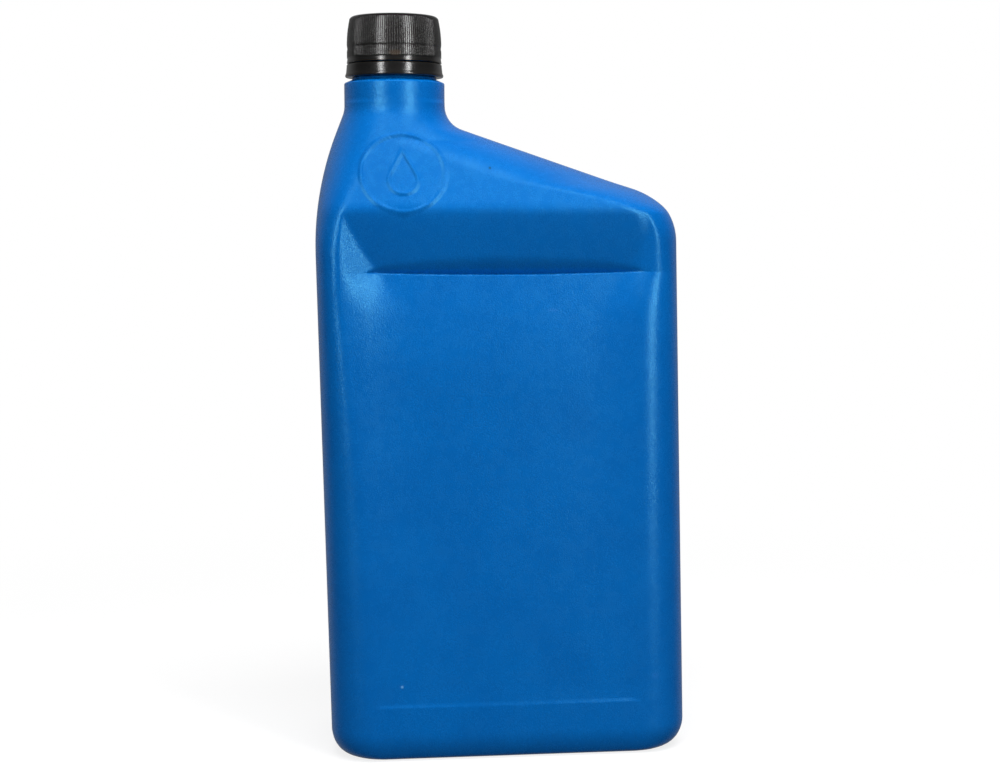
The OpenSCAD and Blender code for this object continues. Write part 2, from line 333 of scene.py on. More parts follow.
@dataclass(frozen=True)
class NeckFinish:
    """The standard neck of the bottle and what its closure fits."""

    axis_x: float = -32.956
    cylinder_r: float = 15.95
    cylinder_z: float = 207.0
    cone_z: float = 213.3
    cone_top_z: float = 214.4
    cone_r: float = 13.0
    shoulder_r: float = 0.5
    ring_r: float = 13.4
    finish_r: float = 12.4
    bore_r: float = 10.9
    bead_r: float = 13.6
    bead_z: float = 216.5
    bead_h: float = 1.2
    mouth_z: float = 231.8
    lip: float = 0.45
    thread: Thread = Thread(4.23, 1.15, 2.5, 1.0, 219.6, 230.4)

    def outside(self) -> list[tuple[float, float]]:
        """Radius and height of each ring outside, from the shell up to the mouth.

        Returns:
            The rings' radii and heights.
        """
        turn = np.radians(np.arange(0, 61, 12))
        round_r = self.cylinder_r - self.shoulder_r * (1 - np.cos(turn))
        round_z = self.cone_z - self.shoulder_r * (1 - np.sin(turn))
        profile = [(self.cylinder_r, self.cylinder_z + up) for up in (0.15, 1.2, 2.6, 4.0)]
        profile += list(zip(round_r, round_z))
        profile += [(self.cone_r + 1.3, self.cone_top_z - 0.55), (self.ring_r + 0.3, self.cone_top_z - 0.3)]
        profile += [(self.ring_r + 0.04, self.cone_top_z - 0.22), (self.ring_r, self.cone_top_z - 0.12)]
        profile += [(self.ring_r, self.cone_top_z + 0.3), (self.ring_r - 0.12, self.cone_top_z + 0.48)]
        profile += [(self.finish_r + 0.2, self.cone_top_z + 0.54), (self.finish_r, self.cone_top_z + 0.7)]
        profile += [(self.finish_r, self.bead_z - 0.2)]
        profile += [(self.finish_r + 0.15, self.bead_z), (self.bead_r - 0.15, self.bead_z + 0.04)]
        profile += [(self.bead_r, self.bead_z + 0.2), (self.bead_r, self.bead_z + self.bead_h / 2)]
        profile += [(self.finish_r + 0.2, self.bead_z + self.bead_h - 0.05)]
        top = self.mouth_z - self.lip
        profile += [(self.finish_r, z) for z in steps((self.bead_z + self.bead_h + 0.3, top, 0.36))]
        profile += [
            (self.finish_r - self.lip * (1 - math.cos(a)), top + self.lip * math.sin(a))
            for a in np.radians((30, 60, 90))
        ]
        return profile

    def inside(self, wall: float) -> list[tuple[float, float]]:
        """Radius and height of each ring inside, from the mouth down to the shell.

        Args:
            wall: thickness of the shell.

        Returns:
            The rings' radii and heights.
        """
        inner_r = self.cylinder_r - wall
        return [
            (self.bore_r + 0.3, self.mouth_z),
            (self.bore_r, self.mouth_z - 0.3),
            (self.bore_r, 226.0),
            (self.bore_r, 220.0),
            (self.bore_r, self.cone_top_z),
            (inner_r - 0.6, self.cone_z - wall + 0.3),
            (inner_r, self.cone_z - wall - 0.4),
            (inner_r, self.cylinder_z),
        ]


@dataclass(frozen=True)
class Emblem:
    """A raised moulded ring with a plain drop in it, on the sloping shoulder face."""

    x: float = -31.66
    z: float = 184.4
    radius: float = 13.0
    line: float = 1.1
    height: float = 0.48
    tilt: float = 23.4
    drop_r: float = 4.5
    drop_z: float = -2.4
    tip_z: float = 7.6
    edge_in: float = 0.2
    edge_out: float = 0.15
    reach: float = 15.0

    def rise(self, x: Array, z: Array) -> Array:
        """Height of the emblem at a point of the face.

        Args:
            x: positions across.
            z: heights of the same shape.

        Returns:
            How far the face is raised.
        """
        u = np.abs(x - self.x)
        v = (z - self.z) / math.cos(math.radians(self.tilt))
        ring = np.abs(np.hypot(u, v) - self.radius)
        lean = math.asin(self.drop_r / (self.tip_z - self.drop_z))
        side = u * math.cos(lean) + (v - self.tip_z) * math.sin(lean)
        belly = np.hypot(u, v - self.drop_z) - self.drop_r
        above = -u * math.sin(lean) + (v - self.drop_z) * math.cos(lean) > 0
        drop = np.abs(np.where(above, side, belly))
        nearest = np.minimum(ring, drop)
        return self.height * (1 - ramp(self.line / 2 - self.edge_in, self.line / 2 + self.edge_out, nearest))


@dataclass
class BottleShell:
    """The blown shell with its neck, as one closed skin."""

    width: float = 114.1
    depth: float = 58.0
    height: float = 207.0
    lean: float = 1.25
    corner: float = 14.0
    near_corner: float = 13.2
    near_corner_grip: float = 7.0
    near_corner_grip_y: float = 10.5
    near_corner_z: float = 150.0
    near_corner_run: float = 75.0
    foot_h: float = 9.0
    foot_side: float = 6.5
    foot_face: float = 4.5
    push_up: float = 2.4
    push_up_run: float = 14.0
    stand: float = 3.2
    wall: float = 0.9
    slope: float = 18.9
    drop: float = 6.55
    shoulder_r: float = 18.0
    shoulder_hollow: float = 8.0
    short_lean: float = 21.5
    short_r: float = 100.0
    short_drop: float = 2.5
    short_hollow: float = 9.0
    face_drop: float = 3.0
    face_hollow: float = 10.0
    roof: float = 38.0
    roof_start: float = 2.0
    roof_end: float = 4.0
    crease_drop: float = 33.4
    crease_r: float = 10.0
    grip_h: float = 19.8
    grip_depth: float = 6.4
    grip_curve: float = 1.2
    ledge_w: float = 2.2
    ledge_len: float = 86.0
    ledge_bow: float = 0.8
    bow_run: float = 14.0
    pocket_h: float = 6.0
    pocket_least: float = 0.05
    pinch_fade: float = 36.0
    panel_depth: float = 1.5
    panel_foot_depth: float = 0.25
    panel_foot_z: float = 12.0
    panel_full_z: float = 115.0
    ridge_z: float = 15.6
    ridge_rise: float = 9.0
    bead_h: float = 0.28
    bead_end_h: float = 0.62
    bead_end: float = 0.9
    bead_rise: float = 0.8
    bead_w: float = 0.9
    dip_share: float = 0.4
    dip_rise: float = 3.4
    dip_w: float = 1.1
    left_border: float = 9.5
    left_border_ledge: float = 7.3
    right_border: float = 11.0
    right_border_ledge: float = 6.0
    right_border_top: float = 9.5
    border_slope: float = 15.0
    border_run: float = 75.0
    flare_left: float = 11.6
    flare_right: float = 9.0
    flare_top: float = 0.8
    flare_run: float = 12.0
    facet_ease: float = 0.16
    panel_ease: float = 0.5
    right_ease: float = 0.45
    min_flat: float = 0.4
    side_share: float = 0.33
    neck: NeckFinish = NeckFinish()
    emblem: Emblem = Emblem()
    left: Outline = field(init=False)
    right: Outline = field(init=False)
    face: Outline = field(init=False)
    crease_z: float = field(init=False)
    ledge_z: float = field(init=False)
    neck_r: float = field(init=False)

    def __post_init__(self) -> None:
        """Works out the three outlines from the sizes."""
        self.crease_z = self.height - self.crease_drop
        self.ledge_z = self.crease_z - self.grip_h
        self.neck_r = self.neck.cylinder_r
        lean = math.tan(math.radians(self.lean))
        shift = lean * self.crease_z / 2
        low_left = Line(shift - self.width / 2, -lean)
        low_right = Line(shift + self.width / 2, -lean)
        long_dx = -1 / math.tan(math.radians(self.slope))
        short_dx = math.tan(math.radians(self.short_lean))
        neck_left, neck_right = self.neck.axis_x - self.neck_r, self.neck.axis_x + self.neck_r
        long_line = Line(neck_right - (self.height - self.drop) * long_dx, long_dx)
        short_line = Line(neck_left - (self.height - self.short_drop) * short_dx, short_dx)
        self.left = Outline.through(
            low_left, short_line, Line(neck_left, 0), self.short_r, self.short_hollow, -1
        )
        self.right = Outline.through(
            low_right, long_line, Line(neck_right, 0), self.shoulder_r, self.shoulder_hollow, 1
        )
        half = self.depth / 2
        face_dy = (self.neck_r - half) / (self.crease_drop - self.face_drop)
        slope_line = Line(half - self.crease_z * face_dy, face_dy)
        self.face = Outline.through(
            Line(half, 0), slope_line, Line(self.neck_r, 0), self.crease_r, self.face_hollow, 1
        )

    def columns(self) -> tuple[Array, Array]:
        """Where the front and the back have their columns.

        Returns:
            Shares of the width for the front and for the back.
        """
        corner = 0.06 * (1 - np.cos(np.linspace(0, math.pi / 2, 9)))[:-1]
        front = steps((0.06, 0.12, 0.006), (0.12, 0.36, 0.0036), (0.36, 0.75, 0.009), (0.75, 0.94, 0.006))
        back = steps((0.06, 0.25, 0.010), (0.25, 0.75, 0.020), (0.75, 0.94, 0.010))
        return tuple(np.concatenate([corner, run, 1 - corner[::-1]]) for run in (front, back))

    def border(self, x: Array, z: float) -> Array:
        """Share of the recess at a point, 0 on the borders beside the panel.

        Args:
            x: positions across.
            z: height of the level.

        Returns:
            The share at each position.
        """
        up = min(1.0, max(0.0, (z - self.ledge_z) / self.grip_h))
        down = min(1.0, max(0.0, (self.ledge_z - z) / self.border_run))
        near = min(1.0, max(0.0, (self.ledge_z - z) / self.flare_run))
        share = (1 - up) ** self.grip_curve
        left = self.left.at(z) + mix(self.left_border_ledge, self.left_border, down)
        top = mix(self.right_border_ledge, self.right_border_top, up)
        right = self.right.at(z) - mix(top, self.right_border, down)
        left_w = mix(max(self.flare_top, self.flare_left * share), self.border_slope, near)
        right_w = mix(max(self.flare_top, self.flare_right * share), self.border_slope, near)
        left_ease = float(mix(self.facet_ease, self.panel_ease, near))
        return bevel(left, left + left_w, x, left_ease) * bevel(-right, right_w - right, -x, self.right_ease)

    def lens(self, x: Array) -> Array:
        """Width of the lens-shaped ledge as a share of its widest."""
        return np.sqrt(np.maximum(0, 1 - 4 * x * x / self.ledge_len**2))

    def recess(self, x: Array, z: float) -> Array:
        """Depth of the grip or the panel below the upright face.

        Args:
            x: positions across.
            z: height of the level.

        Returns:
            The depth at each position.
        """
        if z >= self.crease_z:
            return np.zeros_like(x)
        below = self.grip_depth - self.ledge_w
        if z > self.ledge_z:
            share = ((self.crease_z - z) / self.grip_h) ** self.grip_curve
            lens = self.lens(x)
            rise = np.minimum(1, (z - self.ledge_z) / (self.pocket_h * np.maximum(self.pocket_least, lens)))
            return share * below * self.border(x, z) + self.ledge_w * lens * (1 - rise) ** 2
        t = min(1.0, (self.ledge_z - z) / self.pinch_fade)
        pinch = (below - self.panel_depth) * (1 - t) ** 2
        full = ramp(self.panel_foot_z, self.panel_full_z, z)
        flat = float(mix(self.panel_foot_depth, self.panel_depth, full))
        ridge = float(ramp(self.ridge_z, self.ridge_z + self.ridge_rise, z))
        return self.border(x, z) * ridge * (flat + pinch) - self.bead(x, z)

    def bead(self, x: Array, z: float) -> Array:
        """Height of the low bead under the panel, which stands prouder towards its two ends.

        Args:
            x: positions across.
            z: height of the level.

        Returns:
            The height at each position, below 0 in the shallow dip above the bead.
        """
        along = np.clip(np.abs(x) / (self.ledge_len / 2), 0, 1)
        height = mix(self.bead_h, self.bead_end_h, along**2) * (1 - ramp(self.bead_end, 1.0, along))
        dip = self.dip_share * hump(self.ridge_z + self.dip_rise, self.dip_w, z)
        return height * (hump(self.ridge_z + self.bead_rise, self.bead_w, z) - dip)

    def bow(self, x: Array, z: float) -> Array:
        """How far a level sags near the ledge."""
        near = float(ramp(0, 1, 1 - min(1.0, abs(z - self.ledge_z) / self.bow_run)))
        return self.ledge_bow * self.lens(x) ** 2 * near

    def half_depth(self, x: Array, z: float, inset: float) -> Array:
        """Half the depth of a level at each x, before the recess.

        Args:
            x: positions across.
            z: height of the level.
            inset: how far the level lies inside the outer skin.

        Returns:
            The half depths.
        """
        half = float(self.face.at(z)) - inset
        low, high = float(self.left.at(z)) + inset, float(self.right.at(z)) - inset
        top = float(ramp(self.left.turn.low_z, self.left.hollow.low_z, z))
        end = float(ramp(self.crease_z - self.roof_start, self.right.turn.high_z + self.roof_end, z))
        down = min(1.0, max(0.0, (self.near_corner_z - z) / self.near_corner_run))
        a = float(mix(mix(self.near_corner_grip, self.near_corner, down), self.neck_r, top)) - inset
        near_b = float(mix(self.near_corner_grip_y, self.near_corner, down)) - inset
        b = min(float(mix(near_b, half, top)), half - self.min_flat)
        far_a = min(float(mix(self.corner, self.roof, end)) - inset, high - low - a)
        far_b = min(float(mix(self.corner - inset, half, end)), half - self.min_flat)
        near_cos = np.clip(1 - (x - low) / a, 0, 1)
        far_cos = np.clip(1 - (high - x) / far_a, 0, 1)
        near = b * np.sqrt(1 - near_cos**2) + half - b
        far = far_b * np.sqrt(1 - far_cos**2) + half - far_b
        return np.where(x < low + a, near, np.where(x > high - far_a, far, half))

    def ring(self, z: float, level: float, inset: float, raised: bool) -> Array:
        """The points of one level, anticlockwise seen from above.

        Args:
            z: height at which the form is read.
            level: height at which the points lie.
            inset: how far they lie inside the outer skin.
            raised: True adds the emblem.

        Returns:
            Points as rows of x, y, z.
        """
        low, high = float(self.left.at(z)) + inset, float(self.right.at(z)) - inset
        front, back = self.columns()
        fx = low + front * (high - low)
        bx = low + back[::-1] * (high - low)
        fy = -(self.half_depth(fx, z, inset) - self.recess(fx, z))
        by = self.half_depth(bx, z, inset) - self.recess(bx, z)
        fz, bz = level - self.bow(fx, z), level - self.bow(bx, z)
        if raised and abs(z - self.emblem.z) < self.emblem.reach:
            rise = self.emblem.rise(fx, np.full_like(fx, z))
            tilt = math.radians(self.emblem.tilt)
            fy = fy - rise * math.cos(tilt)
            fz = fz + rise * math.sin(tilt)
        thirds = (self.side_share, -self.side_share)
        right_side = np.array([[high, fy[-1] * k, level] for k in thirds])
        left_side = np.array([[low, by[-1] * k, level] for k in thirds])
        return np.concatenate([np.stack([fx, fy, fz], 1), right_side, np.stack([bx, by, bz], 1), left_side])

    def foot_ring(self, level: float, side: float, face: float) -> Array:
        """A level of the foot, drawn in towards the middle of the base.

        Args:
            level: its height.
            side: how far it is drawn in at the sides.
            face: how far it is drawn in at the front and back.

        Returns:
            Points as rows of x, y, z.
        """
        points = self.ring(self.foot_h, level, 0, False)
        middle = float(self.left.low.at(self.foot_h)) + self.width / 2
        points[:, 0] = middle + (points[:, 0] - middle) * (1 - 2 * side / self.width)
        points[:, 1] *= 1 - 2 * face / self.depth
        return points

    def foot(self, inset: float, fine: int) -> list[Array]:
        """The base from the middle of its push-up out to the upright wall.

        Args:
            inset: how far these rings lie inside the outer skin.
            fine: number of rings round the foot's edge.

        Returns:
            The rings in order.
        """
        rings = []
        for t in np.linspace(1, 0, 7):
            rise = inset + self.push_up * float(ramp(0, 1, t))
            run = self.stand + self.push_up_run * t
            rings.append(self.foot_ring(rise, self.foot_side + run, self.foot_face + run))
        for a in np.radians(np.linspace(0, 90, fine, endpoint=False)):
            rings.append(
                self.foot_ring(
                    inset + (self.foot_h - inset) * (1 - math.cos(a)),
                    inset + (self.foot_side - inset) * (1 - math.sin(a)),
                    inset + (self.foot_face - inset) * (1 - math.sin(a)),
                )
            )
        return rings

    def lift(self, z: float) -> float:
        """How far an inner level lies above its outer one."""
        return self.wall * (1 - 2 * float(ramp(self.height * 0.3, self.height * 0.5, z)))

    def round_rings(self, like: Array, profile: list[tuple[float, float]], threaded: bool) -> list[Array]:
        """Round rings at the angles of a given ring.

        Args:
            like: the ring whose angles about the neck's axis are kept.
            profile: radius and height of each new ring.
            threaded: True adds the neck's thread.

        Returns:
            The rings in order.
        """
        angle = np.arctan2(like[:, 1], like[:, 0] - self.neck.axis_x)
        rings = []
        for radius, z in profile:
            level = np.full_like(angle, z)
            r = np.full_like(angle, radius)
            if threaded and radius == self.neck.finish_r and z > self.neck.bead_z + self.neck.bead_h:
                r = r + self.neck.thread.rise(angle, level)
            rings.append(np.stack([self.neck.axis_x + r * np.cos(angle), r * np.sin(angle), level], 1))
        return rings

    def build(self) -> bpy.types.Object:
        """Makes the shell's mesh.

        Returns:
            The bottle, riding on its body.
        """
        ledge = self.ledge_z
        outer_z = steps(
            (self.foot_h, 14, 1.2),
            (14, 19, 0.28),
            (19, ledge - self.pinch_fade, 5),
            (ledge - self.pinch_fade, ledge - 3, 2.4),
            (ledge - 3, ledge, 0.4),
        )
        upper_z = steps(
            (ledge + 0.12, ledge + 0.9, 0.2),
            (ledge + 0.9, ledge + 7, 0.6),
            (ledge + 7, 171.6, 1.3),
            (171.6, 197.4, 0.42),
            (197.4, self.height, 0.7),
        )
        rings = self.foot(0, 12)
        rings += [self.ring(z, z, 0, True) for z in outer_z[:-1]]
        rings += [self.ring(ledge, ledge - 0.05, 0, True)]
        rings += [self.ring(z, z, 0, True) for z in upper_z]
        top = rings[-1]
        rings += self.round_rings(top, self.neck.outside(), True)
        rings += self.round_rings(top, self.neck.inside(self.wall), False)
        inner_z = steps(
            (self.foot_h, ledge, 7), (ledge + 0.4, self.crease_z, 4), (self.crease_z, self.height - 1, 2.2)
        )
        inner = [self.ring(z, z + self.lift(z), self.wall, False) for z in inner_z]
        rings += inner[::-1]
        rings += self.foot(self.wall, 6)[::-1]
        limits = [np.array(corner) / MM for corner in cad_box]
        rings = [np.clip(ring, *limits) for ring in rings]
        shell = skin_object("bottle_shell", rings, True, Body.BOTTLE)
        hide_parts("bottle")
        return shell


@dataclass
class Closure:
    """The black screw cap, its break-away band and the foam disc in it."""

    neck: NeckFinish = NeckFinish()
    cap_z: float = 219.4
    top_z: float = 234.0
    wall_r: float = 15.0
    taper: float = 0.8
    straight: float = 0.4
    rim_h: float = 1.8
    rim_step: float = 0.15
    flare: float = 0.1
    edge_r: float = 1.3
    bore_r: float = 13.9
    ceiling_z: float = 232.6
    knurls: int = 120
    knurl_depth: float = 0.12
    knurl_phases: tuple[float, ...] = (0.0, 0.27, 0.33, 0.42, 0.5, 0.58, 0.67, 0.73)
    knurl_cut: tuple[float, ...] = (0.0, 0.0, 0.06, 0.62, 1.0, 0.62, 0.06, 0.0)
    waist_z: float = 224.0
    waist_w: float = 0.6
    waist_depth: float = 0.15
    dish: float = 0.12
    gate_r: float = 1.5
    thread: Thread = Thread(4.23, 1.05, 2.1, 0.8, 220.8, 231.0)
    band_z: float = 215.0
    band_h: float = 4.0
    band_r: float = 15.6
    band_bead_r: float = 13.1
    bridges: int = 12
    bridge_w: float = 0.8
    bridge_h: float = 0.32
    web_h: float = 0.27
    bridge_mid_r: float = 14.35
    liner_r: float = 13.06
    liner_ease: float = 0.03

    def angles(self) -> Array:
        """The angles of the points round the axis."""
        turns = np.add.outer(np.arange(self.knurls), self.knurl_phases).ravel() / self.knurls
        return turns * math.tau

    def ring(self, radius: Array | float, z: Array | float) -> Array:
        """One ring about the neck's axis.

        Args:
            radius: one radius or one for each point.
            z: one height or one for each point.

        Returns:
            Points as rows of x, y, z.
        """
        a = self.angles()
        r = np.broadcast_to(radius, a.shape)
        level = np.broadcast_to(z, a.shape)
        return np.stack([self.neck.axis_x + r * np.cos(a), r * np.sin(a), level], 1)

    def cap_wall(self, z: float) -> float:
        """Radius over the knurls at a height.

        Args:
            z: the height.

        Returns:
            The radius.
        """
        height = self.top_z - self.cap_z
        start = self.cap_z + height * self.straight
        t = max(0.0, (z - start) / (self.top_z - self.edge_r - start))
        if z < self.cap_z + self.rim_h:
            share = (z - self.cap_z) / (self.rim_h - 0.4)
            waist = self.wall_r - self.rim_step
            low = float(mix(self.wall_r + self.flare, waist, min(1.0, share) ** 0.7))
            return float(mix(low, self.wall_r, ramp(1, 1.25, share)))
        return self.wall_r - self.taper * t * t - self.waist_depth * hump(self.waist_z, self.waist_w, z)

    def cut(self, z: float) -> float:
        """Depth of the grooves between the knurls at a height."""
        start, end = self.cap_z + self.rim_h - 0.15, self.top_z - self.edge_r
        fade = 1 - float(ramp(end - 0.1, end + 0.8, z))
        return self.knurl_depth * float(ramp(start, start + 0.4, z)) * fade

    def build_cap(self) -> bpy.types.Object:
        """Makes the cap, with knurls outside and a thread inside.

        Returns:
            The cap, riding on its body.
        """
        angle = self.angles()
        knurl = np.tile(self.knurl_cut, self.knurls)
        edge_z = self.top_z - self.edge_r
        rings = [self.ring(self.bore_r + 0.3, self.cap_z), self.ring(self.wall_r - 0.2, self.cap_z)]
        rings.append(self.ring(self.wall_r + self.flare - 0.06, self.cap_z + 0.05))
        runs = ((self.cap_z + 0.2, 222.2, 0.2), (222.2, 226, 0.3), (226, 231.6, 1.4), (231.6, edge_z, 0.3))
        for z in steps(*runs):
            rings.append(self.ring(self.cap_wall(z) - self.cut(z) * knurl, z))
        top_r = self.wall_r - self.taper
        for a in np.radians((10, 20, 30, 45, 60, 75, 90)):
            z = edge_z + self.edge_r * math.sin(a)
            rings.append(self.ring(top_r - self.edge_r * (1 - math.cos(a)) - self.cut(z) * knurl, z))
        face_r = top_r - self.edge_r
        for r, sunk in ((0.97, 0.0), (0.93, 0.6), (0.86, 1.0), (0.5, 1.0)):
            rings.append(self.ring(face_r * r, self.top_z - self.dish * sunk))
        rings.append(self.ring(self.gate_r + 0.2, self.top_z - self.dish))
        rings.append(self.ring(self.gate_r, self.top_z - self.dish - 0.1))
        rings.append(self.ring(0.35, self.top_z - self.dish - 0.1))
        rings += [self.ring(0.35, self.ceiling_z), self.ring(12.0, self.ceiling_z)]
        rings += [self.ring(self.bore_r - 0.2, self.ceiling_z), self.ring(self.bore_r, self.ceiling_z - 0.2)]
        for z in steps((self.ceiling_z - 0.5, self.cap_z + 0.3, 0.4)):
            level = np.full_like(angle, z)
            rings.append(self.ring(self.bore_r - self.thread.rise(angle, level, self.phase()), z))
        # The skin runs up the outside, through the middle of the top and down the inside
        cap = skin_object("cap_body", rings, False, Body.CAP)
        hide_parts("cap")
        return cap

    def phase(self) -> float:
        """Shift, in turns, that puts the cap's thread midway between the neck's."""
        lag = (self.neck.thread.low_z - self.thread.low_z) / self.thread.pitch
        return lag + 0.5

    def build_band(self) -> bpy.types.Object:
        """Makes the break-away band with its parted bridges.

        Returns:
            The band, riding on the bottle.
        """
        z, top = self.band_z, self.band_z + self.band_h
        angle = self.angles()
        step = math.tau / self.bridges
        off = np.abs((angle + step) % step - step / 2) * self.bridge_mid_r
        bridge = mix(self.bridge_h, self.web_h, ramp(self.bridge_w / 2 - 0.08, self.bridge_w / 2 + 0.08, off))
        outer = [(15.15, z), (15.42, z + 0.06), (15.56, z + 0.2), (self.band_r, z + 0.42), (15.58, z + 0.7)]
        outer += [(15.42, z + 1.05), (15.3, z + 1.5), (15.2, z + 2.4), (15.12, z + 3.2)]
        outer += [(15.1, top - 0.22), (15.04, top - 0.06), (14.9, top)]
        rings = [self.ring(self.band_bead_r + 0.3, z), self.ring(14.2, z)]
        rings += [self.ring(r, level) for r, level in outer]
        rings += [self.ring(14.68, top), self.ring(14.64, top + bridge), self.ring(14.08, top + bridge)]
        rings += [self.ring(14.04, top), self.ring(self.bore_r, top - 0.1), self.ring(self.bore_r, z + 1.4)]
        rings += [self.ring(self.band_bead_r, z + 0.9), self.ring(self.band_bead_r, z + 0.25)]
        band = skin_object("break_away_band", rings, False, Body.BOTTLE)
        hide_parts("tamper_band")
        return band

    def build_liner(self) -> bpy.types.Object:
        """Makes the foam sealing disc.

        Returns:
            The disc, riding on its body.
        """
        low, high = self.neck.mouth_z, self.ceiling_z
        top = high - self.liner_ease
        profile = [(0.4, low), (10.0, low), (12.7, low), (12.95, low + 0.05), (self.liner_r, low + 0.2)]
        profile += [(self.liner_r, high - 0.2), (12.95, top - 0.05), (12.7, top), (6.0, top), (0.4, top)]
        rings = [self.ring(r, z) for r, z in profile]
        liner = skin_object("foam_disc", rings, True, Body.LINER)
        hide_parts("cap_liner")
        return liner


class Graph:
    """A node tree with short ways to add and join nodes."""

    def __init__(self, tree: bpy.types.NodeTree) -> None:
        """Keeps the tree."""
        self.tree = tree

    def add(self, kind: str, **settings: object) -> bpy.types.Node:
        """Adds a node.

        Args:
            kind: the node's type name.
            settings: its properties; a key with an underscore in front sets the input of that number.

        Returns:
            The node.
        """
        node = self.tree.nodes.new(kind)
        for key, value in settings.items():
            if key.startswith("_"):
                node.inputs[int(key[1:])].default_value = value
            else:
                setattr(node, key, value)
        return node

    def join(self, source: object, target: object) -> None:
        """Links an output to an input."""
        self.tree.links.new(source, target)

    def math(self, operation: str, a: object, b: object = 0.0) -> object:
        """A math node on two sockets or numbers.

        Args:
            operation: the node's operation.
            a: first socket or number.
            b: second socket or number.

        Returns:
            The output socket.
        """
        node = self.add("ShaderNodeMath", operation=operation)
        for slot, value in enumerate((a, b)):
            if isinstance(value, (int, float)):
                node.inputs[slot].default_value = value
            else:
                self.join(value, node.inputs[slot])
        return node.outputs[0]

    def spread(
        self, value: object, low: float, high: float, to_low: float = 0.0, to_high: float = 1.0
    ) -> object:
        """Maps a socket from one range to another, smoothly and clamped.

        Args:
            value: the socket.
            low: start of its range.
            high: end of its range.
            to_low: what the start becomes.
            to_high: what the end becomes.

        Returns:
            The output socket.
        """
        node = self.add("ShaderNodeMapRange", interpolation_type="SMOOTHSTEP")
        for slot, number in ((1, low), (2, high), (3, to_low), (4, to_high)):
            node.inputs[slot].default_value = number
        self.join(value, node.inputs[0])
        return node.outputs[0]

    def vector(self, operation: str, a: object, b: tuple[float, float, float] | None = None) -> object:
        """A vector math node on a socket and a fixed vector.

        Args:
            operation: the node's operation.
            a: the vector socket.
            b: the fixed second vector, where the operation takes one.

        Returns:
            The output socket, a number for a length.
        """
        node = self.add("ShaderNodeVectorMath", operation=operation)
        self.join(a, node.inputs[0])
        if b is not None:
            node.inputs[1].default_value = b
        return node.outputs["Value" if operation == "LENGTH" else "Vector"]

    def mix_shader(self, share: object, a: object, b: object) -> object:
        """A mix of two shaders.

        Args:
            share: the socket of the mix.
            a: shader socket at 0.
            b: shader socket at 1.

        Returns:
            The shader socket.
        """
        node = self.add("ShaderNodeMixShader")
        for slot, source in enumerate((share, a, b)):
            self.join(source, node.inputs[slot])
        return node.outputs[0]

    def noise(self, place: object, scale: float, detail: float = 2.0) -> object:
        """A noise value over a place.

        Args:
            place: the coordinate socket.
            scale: the noise's scale per metre.
            detail: its detail.

        Returns:
            The value socket.
        """
        node = self.add("ShaderNodeTexNoise")
        node.inputs["Scale"].default_value = scale
        node.inputs["Detail"].default_value = detail
        self.join(place, node.inputs["Vector"])
        return node.outputs["Fac"]

    def blend(self, share: object, a: object, b: object) -> object:
        """A colour mix of two sockets or colours.

        Args:
            share: the socket or number of the mix.
            a: socket or colour at 0.
            b: socket or colour at 1.

        Returns:
            The colour socket.
        """
        node = self.add("ShaderNodeMix", data_type="RGBA")
        for slot, value in ((0, share), (6, a), (7, b)):
            if hasattr(value, "is_linked"):
                self.join(value, node.inputs[slot])
            else:
                node.inputs[slot].default_value = value
        return node.outputs[2]


def new_group(
    name: str, inputs: dict[str, float], outputs: tuple[str, ...]
) -> tuple[bpy.types.NodeTree, Graph]:
    """A shader node group with number sockets.

    Args:
        name: the group's name.
        inputs: each input's name and default.
        outputs: the outputs' names.

    Returns:
        The group and its graph.
    """
    group = bpy.data.node_groups.new(name, "ShaderNodeTree")
    for key, value in inputs.items():
        socket = group.interface.new_socket(key, in_out="INPUT", socket_type="NodeSocketFloat")
        socket.default_value = value
    for key in outputs:
        group.interface.new_socket(key, in_out="OUTPUT", socket_type="NodeSocketFloat")
    return group, Graph(group)


def moulded_grain() -> bpy.types.NodeTree:
    """The fine skin of moulded plastic: a height, a shade and a gloss value.

    Returns:
        The group, which puts out height, shade and gloss.
    """
    group, g = new_group("Moulded grain", {"Fineness": 1.0}, ("Height", "Shade", "Gloss"))
    source, out = g.add("NodeGroupInput"), g.add("NodeGroupOutput")
    place = g.add("ShaderNodeTexCoord").outputs["Object"]
    scaled = g.add("ShaderNodeVectorMath", operation="SCALE")
    g.join(place, scaled.inputs[0])
    g.join(source.outputs["Fineness"], scaled.inputs["Scale"])
    fine = g.noise(scaled.outputs[0], 2600, 3)
    broad = g.noise(scaled.outputs[0], 55, 2)
    flow = g.noise(scaled.outputs[0], 260, 2)
    g.join(g.math("ADD", g.math("MULTIPLY", fine, 0.8), g.math("MULTIPLY", flow, 0.2)), out.inputs["Height"])
    g.join(broad, out.inputs["Shade"])
    g.join(g.math("ADD", g.math("MULTIPLY", flow, 0.5), g.math("MULTIPLY", fine, 0.5)), out.inputs["Gloss"])
    return group


def handling_marks() -> bpy.types.NodeTree:
    """Faint scuffs and hairline scratches from handling, as one mask.

    Returns:
        The group, which puts out the mask.
    """
    group, g = new_group("Handling marks", {"Amount": 1.0}, ("Mask",))
    source, out = g.add("NodeGroupInput"), g.add("NodeGroupOutput")
    place = g.add("ShaderNodeTexCoord").outputs["Object"]
    masks = []
    for turn, stretch in ((0.5, (38, 38, 900)), (-0.9, (700, 30, 44))):
        mapping = g.add("ShaderNodeMapping")
        mapping.inputs["Rotation"].default_value = (turn, turn * 0.6, turn)
        mapping.inputs["Scale"].default_value = stretch
        g.join(place, mapping.inputs["Vector"])
        masks.append(g.spread(g.noise(mapping.outputs[0], 1.0, 3), 0.70, 0.78))
    patch = g.spread(g.noise(place, 22, 2), 0.5, 0.68)
    lines = g.math("MAXIMUM", masks[0], masks[1])
    g.join(g.math("MULTIPLY", g.math("MULTIPLY", lines, patch), source.outputs["Amount"]), out.inputs["Mask"])
    return group


